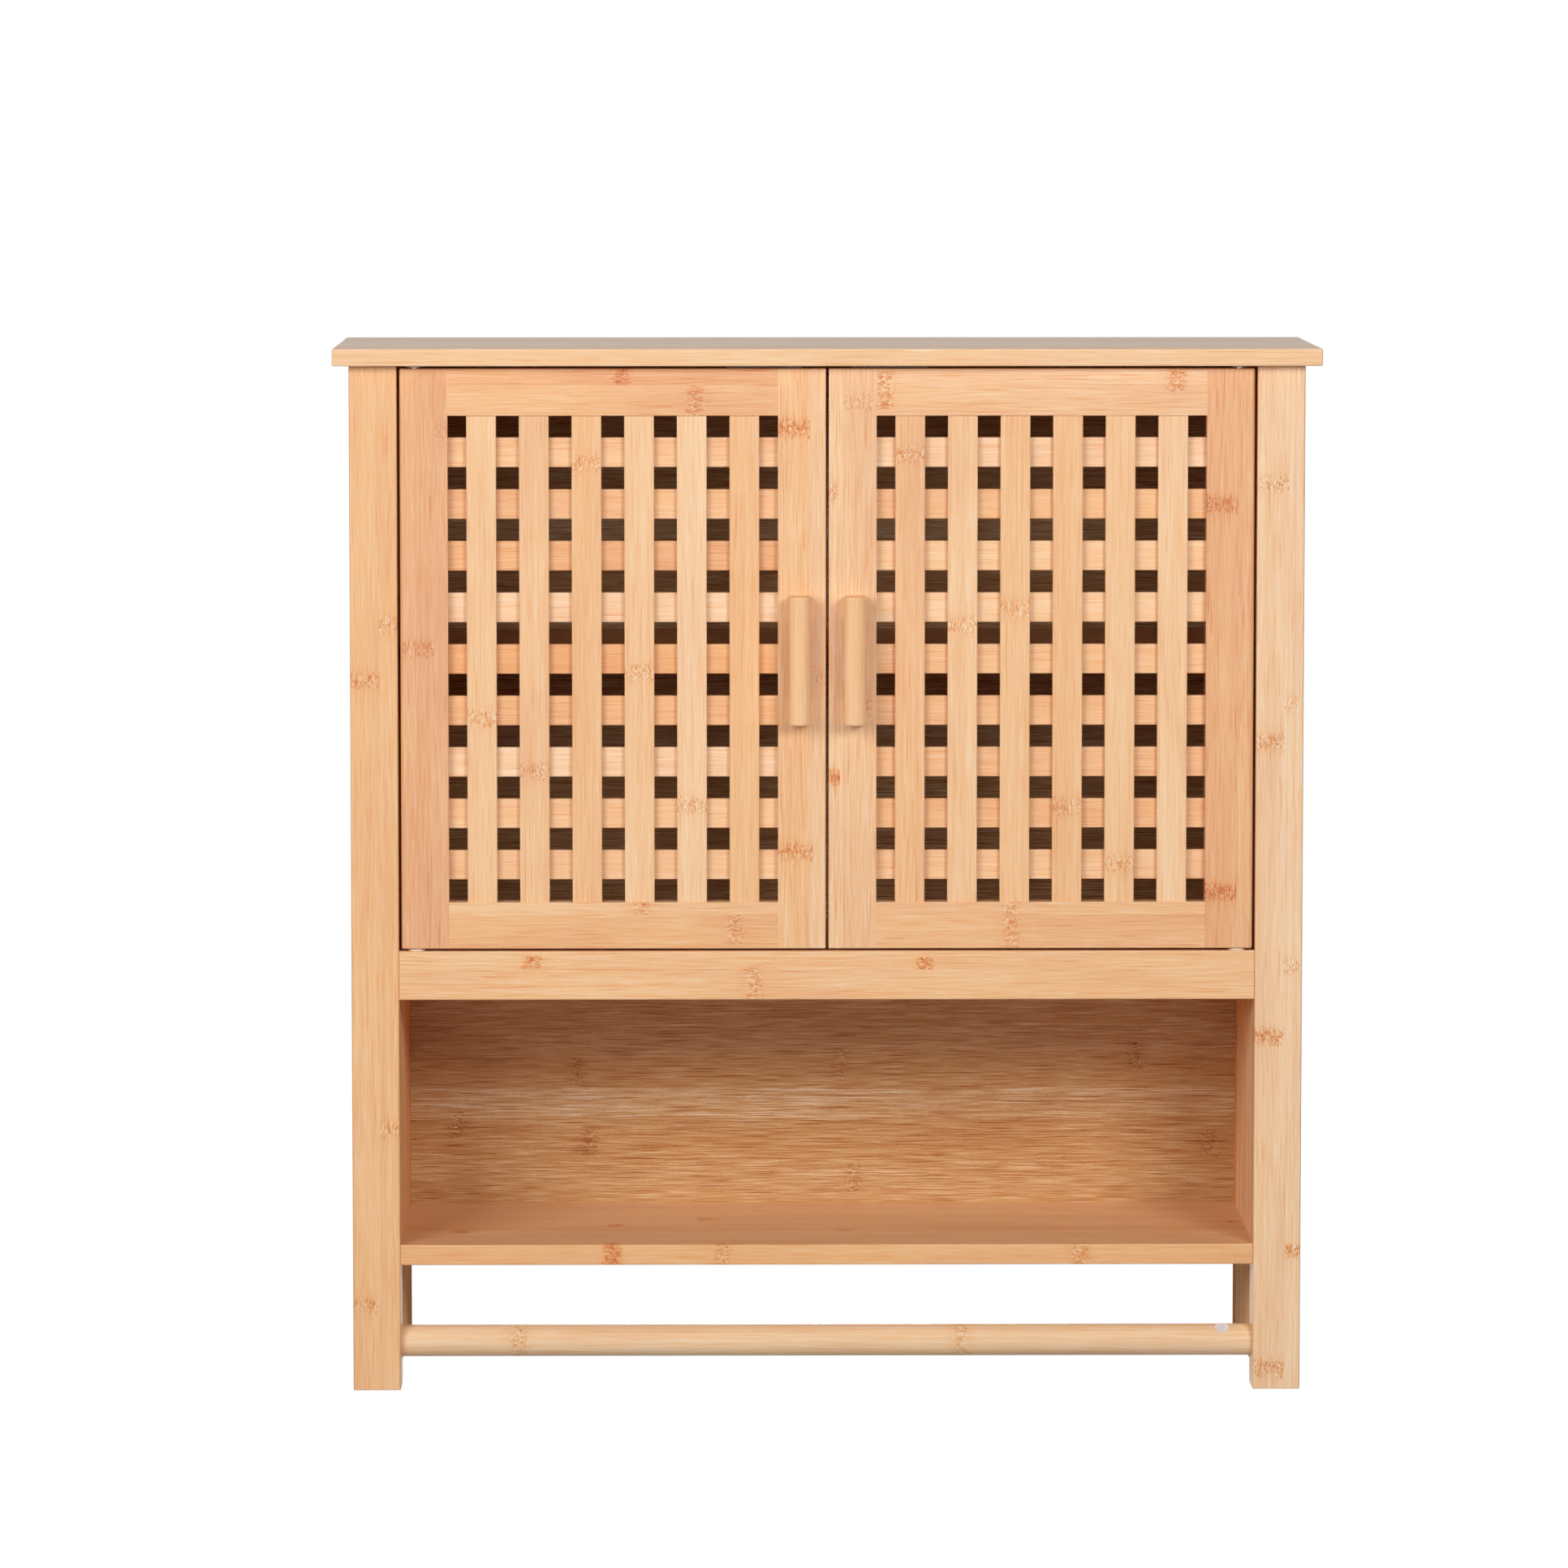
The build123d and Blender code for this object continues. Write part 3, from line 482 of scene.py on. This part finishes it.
# The floor board and inner shelf, behind the doors, are made darker and richer: painted shade of the closed
# cabinet's inside
for board in ("floor_board", "inner_shelf"):
    dress_bamboo(board, FLAT, 20, density=1.3, rosy=0.1, knuckle_share=0.4)
dress_bamboo(
    "apron_rail", LEVEL, 20, shift=-332, density=1.05, rosy=0.05, fibre_contrast=1.3,
    knuckles=[(-327, -186, 4, 1, 0.6), (-340, -46, 11, 1, 0), (-328, 62, 4, 1, 0.6)],
)
dress_bamboo(
    "lower_shelf", FLAT, 20, shift=-190, density=1.0, rosy=0.05, gloss=0.5,
    knuckles=[
        (-187, -136, 4, 1, 0.7),
        (-187, -66, 4, 1, 0),
        (-187, 160, 4, 1, 0),
        (-135, -233, 6, 1, 0.6),
        (-108, -134, 6, 1, 0.5),
        (-81, -77, 6, 1, 0.3),
        (-127, 12, 6, 1, 0.2),
        (-95, 262, 6, 1, 0.4),
    ],
)
dress_bamboo(
    "towel_bar", LEVEL, 40, shift=-600, density=0.82, strip_contrast=0.1, fibre_contrast=0.8, gloss=0.2,
    knuckles=[(-570, -195, 20, 0.8, 0), (-570, 85, 20, 0.8, 0)],
)

# Doors. Upright slats are numbered from a door's free side, and level slats are listed from the top down.
# A frame piece is (grain, strip width, shift, density, rosy), and an upright slat's knuckle is its height

SLAT_STRIP_WIDTH = 40
SLAT_KNUCKLE_HALF_WIDTH = 10
LEVEL_SLAT_HEIGHT = 18.7

DOORS = {
    "left": {
        "upright_density": (0.97, 0.82, 0.95, 0.92, 0.92, 0.94),
        "level_density": (0.9, 1.0, 1.05, 0.85, 1.25, 1.0, 0.85, 1.05, 1.05),
        "slat_knuckles": {4: -12, 3: -144, 6: -173, 5: -206, 2: -228},
        "frame": {
            "hinge_stile": (UPRIGHT, 20, -258, 1.2, 0.45),
            "meeting_stile": (UPRIGHT, 20, -31, 0.9, 0.05),
            "top_rail": (LEVEL, 20, 17, 1.15, 0.25),
            "bottom_rail": (LEVEL, 22, -297, 1.03, 0.1),
        },
        "knuckles": {
            "hinge_stile": [(-257, -129, 10, 0.8, 0.2), (-242, 9, 3.5, 0.7, 0)],
            "meeting_stile": [(-21, 10, 10, 1, 0.5), (-20, -257, 11, 1, 0.3), (-6, -145, 3, 0.7, 0.1)],
            "top_rail": [(42, -129, 5.5, 0.8, 0.4), (27, -83, 9.5, 1, 0.1)],
            "bottom_rail": [(-293, -117, 4, 0.9, 0.1), (-307, -58, 10, 1, 0)],
        },
    },
    "right": {
        "upright_density": (1.1, 0.88, 0.9, 1.05, 1.05, 0.9),
        "level_density": (0.88, 1.05, 0.82, 0.8, 0.9, 0.95, 1.05, 1.05, 0.92),
        "slat_knuckles": {1: -7, 2: -114, 3: -104, 4: -229, 5: -265},
        "frame": {
            "hinge_stile": (UPRIGHT, 20, 238, 1.12, 0.35),
            "meeting_stile": (UPRIGHT, 20, 11, 0.88, 0.15),
            "top_rail": (LEVEL, 20, 17, 1.0, 0.1),
            "bottom_rail": (LEVEL, 22, -297, 1.1, 0.2),
        },
        "knuckles": {
            "hinge_stile": [(248, -38, 10, 1, 0.5), (248, -283, 10, 1, 0.5)],
            "meeting_stile": [
                (20, 26, 10, 0.7, 0),
                (4, -30, 3, 0.9, 0.3),
                (4, -210, 4, 1, 0.9),
                (24, -165, 4, 0.8, 0.2),
            ],
            "top_rail": [(34, 36, 12, 1, 0.1), (40, 219, 7, 1, 0.5)],
            "bottom_rail": [(-304, 116, 15, 1, 0)],
        },
    },
}


def dress_upright_slat(node, density, knuckle_height):
    low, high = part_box(node)
    middle = (low.x + high.x) / 2 * MM_PER_M
    knuckles = []
    if knuckle_height is not None:
        knuckles.append((middle, knuckle_height, SLAT_KNUCKLE_HALF_WIDTH, 1, 0))
    shift = middle - SLAT_STRIP_WIDTH / 2
    dress_bamboo(node, UPRIGHT, SLAT_STRIP_WIDTH, shift=shift, density=density, rosy=0.03, knuckles=knuckles)


def dress_level_slats(node, densities):
    """The level slats share a node. Each is one strip, with a density of its own."""
    lowest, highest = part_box(node)
    height = (highest.z - lowest.z) * MM_PER_M
    pitch = (height - LEVEL_SLAT_HEIGHT) / (len(densities) - 1)
    bottom = lowest.z * MM_PER_M - (pitch - LEVEL_SLAT_HEIGHT) / 2
    steps = (bottom, bottom + pitch * len(densities), densities[::-1])
    dress_bamboo(node, LEVEL, pitch, shift=bottom, rosy=0.1, knuckle_share=0.1, steps=steps)


def dress_door(prefix, look):
    for part, (grain, strip_width, shift, density, rosy) in look["frame"].items():
        dress_bamboo(
            prefix + part, grain, strip_width, shift=shift, density=density, rosy=rosy, fibre_contrast=1.3,
            knuckles=look["knuckles"][part],
        )
    for number, density in enumerate(look["upright_density"], 1):
        dress_upright_slat(f"{prefix}upright_slat_{number}", density, look["slat_knuckles"].get(number))
    dress_level_slats(prefix + "level_slats", look["level_density"])
    dress_bamboo(prefix + "handle", UPRIGHT, 60, shift=-30, strip_contrast=0, fibre_contrast=0.6)


for side, look in DOORS.items():
    dress_door(f"{side}_door_", look)

# Fittings

METAL_RELIEF = 0.00002
PLASTIC_RELIEF = 0.00003
MOTTLE_SIZE = (4.0, 4.0, 4.0)


def metal(name, colour, roughness, grain_size):
    material, tree, shader = material_tree(name)
    grain = tree.noise(object_place(tree), grain_size, 2.0)
    set_shader(
        shader,
        base_color=tree.deepen(colour, tree.total(1.0, tree.times(grain, 0.8))),
        metallic=1.0,
        roughness=tree.total(roughness, tree.times(grain, 0.2)),
        normal=tree.bump(grain, METAL_RELIEF),
    )
    return material


def plastic(name, colour, roughness, grain_size):
    material, tree, shader = material_tree(name)
    place = object_place(tree)
    grain = tree.noise(place, (grain_size, grain_size, grain_size), 2.0)
    mottle = tree.noise(place, MOTTLE_SIZE)
    set_shader(
        shader,
        base_color=tree.deepen(colour, tree.total(1.0, tree.times(mottle, 0.4))),
        roughness=tree.total(roughness, tree.times(grain, 0.2)),
        normal=tree.bump(grain, PLASTIC_RELIEF),
    )
    return material


FINISHES = {
    "zinc_plated_steel": metal("zinc_plated_steel", srgb(212, 210, 202), 0.3, (1.5, 1.5, 1.5)),
    "bright_steel": metal("bright_steel", srgb(200, 200, 202), 0.25, (8.0, 0.2, 0.2)),
    "cast_zinc": plastic("cast_zinc", srgb(238, 232, 233), 0.4, 0.3),
    "nylon": plastic("nylon", srgb(222, 208, 182), 0.5, 0.3),
    "white_plastic": plastic("white_plastic", srgb(240, 236, 226), 0.4, 0.4),
    "magnet": plastic("magnet", srgb(62, 60, 62), 0.6, 0.2),
    "dowel_wood": bamboo(
        "dowel_wood", LEVEL, 40, density=0.7, rosy=0.2, strip_contrast=0, fibre_contrast=0.5, gloss=0,
    ),
}
for subpart in frame["record"]["subparts"]:
    if subpart["material_slot"] in FINISHES:
        dress(subpart["node"], FINISHES[subpart["material_slot"]])

# Studio. Lengths are in metres and angles in degrees

AMBIENT = 0.055
FLOOR_HEIGHT = -1.6
FLOOR_SIZE = 40
LIGHT_TARGET = Vector((0, -0.1, -0.27))
LIGHT_DISTANCE = 3.0
LIGHTS = {
    "left_key": {"azimuth": -33, "elevation": 20, "size": 1.5, "share": 0.45},
    "right_key": {"azimuth": 23, "elevation": 20, "size": 0.8, "share": 0.385},
    "rear_fill": {"azimuth": 180, "elevation": -4, "size": 0.5, "share": 0.2},
}
CAMERA_PLACE = (-0.0762, -5.0897, 0.2424)
CAMERA_DIP = 5.324
CAMERA_TURN = -0.573
CAMERA_LENS = 179.46
SENSOR_WIDTH = 36.0


def seen_directly(tree):
    """1 for rays from the camera, mirror-like and clear surfaces, 0 for the rays that light the object."""
    path = tree.node("ShaderNodeLightPath").outputs
    direct = tree.math("MAXIMUM", path["Is Camera Ray"], path["Is Glossy Ray"])
    return tree.math("MAXIMUM", direct, path["Is Transmission Ray"])


def make_world():
    world = bpy.data.worlds.new("studio")
    world.use_nodes = True
    tree = ShaderTree(world.node_tree)
    background = world.node_tree.nodes["Background"]
    background.inputs["Color"].default_value = WHITE
    strength = tree.total(AMBIENT, tree.times(seen_directly(tree), 1 - AMBIENT))
    tree.feed(background.inputs["Strength"], strength)
    bpy.context.scene.world = world


def make_floor():
    bpy.ops.mesh.primitive_plane_add(size=FLOOR_SIZE, location=(0, 0, FLOOR_HEIGHT))
    floor = bpy.context.object
    floor.name = "floor"
    material, tree, shader = material_tree("pale_floor")
    place = tree.node("ShaderNodeTexCoord").outputs["Object"]
    distance = tree.node("ShaderNodeVectorMath", {0: place}, operation="LENGTH").outputs["Value"]
    glow = tree.total(0.66, tree.times(tree.step(distance, 1.0, 4.0), 0.3))
    set_shader(
        shader,
        base_color=srgb(214, 214, 214),
        roughness=0.9,
        specular_ior_level=0.0,
        emission_color=WHITE,
        emission_strength=tree.times(glow, seen_directly(tree)),
    )
    floor.data.materials.append(material)


def make_light(name, azimuth, elevation, size, share):
    """A square lamp that aims at the cabinet. It gives the front or rear faces a share of full light."""
    turn, rise = math.radians(azimuth), math.radians(elevation)
    outwards = Vector((math.sin(turn) * math.cos(rise), -math.cos(turn) * math.cos(rise), math.sin(rise)))
    lamp = bpy.data.lights.new(name, "AREA")
    lamp.size = size
    lamp.energy = share * (math.pi * LIGHT_DISTANCE) ** 2 / abs(outwards.y)
    light = bpy.data.objects.new(name, lamp)
    light.location = LIGHT_TARGET + outwards * LIGHT_DISTANCE
    light.rotation_euler = (-outwards).to_track_quat("-Z", "Y").to_euler()
    bpy.context.scene.collection.objects.link(light)


def make_camera():
    """The photograph's view, fitted to the corners of the top board, the posts and the feet."""
    data = bpy.data.cameras.new("camera")
    data.sensor_width = SENSOR_WIDTH
    data.lens = CAMERA_LENS
    camera = bpy.data.objects.new("camera", data)
    camera.location = CAMERA_PLACE
    camera.rotation_euler = (math.radians(90 - CAMERA_DIP), 0, math.radians(CAMERA_TURN))
    bpy.context.scene.collection.objects.link(camera)
    bpy.context.scene.camera = camera


bpy.context.scene.view_settings.view_transform = "Standard"
make_world()
make_floor()
for light_name, light_settings in LIGHTS.items():
    make_light(light_name, **light_settings)
make_camera()
